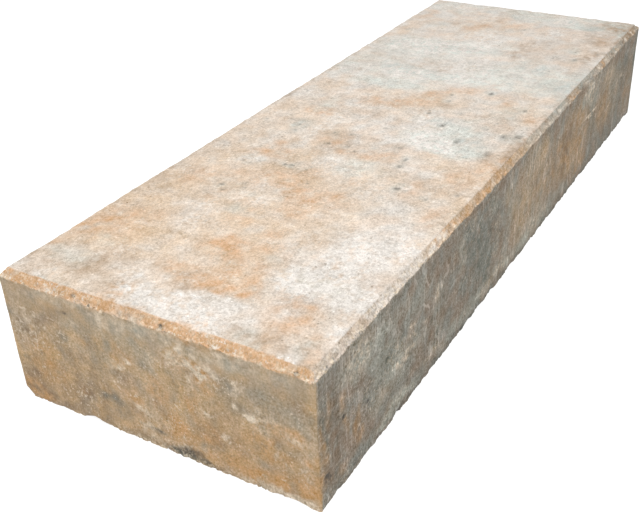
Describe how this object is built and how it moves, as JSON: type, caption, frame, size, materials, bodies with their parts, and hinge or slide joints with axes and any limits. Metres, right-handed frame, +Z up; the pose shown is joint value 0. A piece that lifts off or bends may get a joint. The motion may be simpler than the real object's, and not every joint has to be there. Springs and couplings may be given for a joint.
{
  "type": "concrete block step",
  "caption": "Solid cast concrete block step with a chamfer round its tread and chipped bottom edges, for garden stairs and terrace edges.",
  "frame": {"origin": "middle of the underside, which lies on the ground or on the step below", "axes": "+X along the step's length, -Y out of the front riser, +Z up through the tread"},
  "size_m": [1, 0.35, 0.15],
  "materials": {
    "concrete": "matte"
  },
  "bodies": {
    "root": {"block_step": "concrete"}
  },
  "joints": []
}
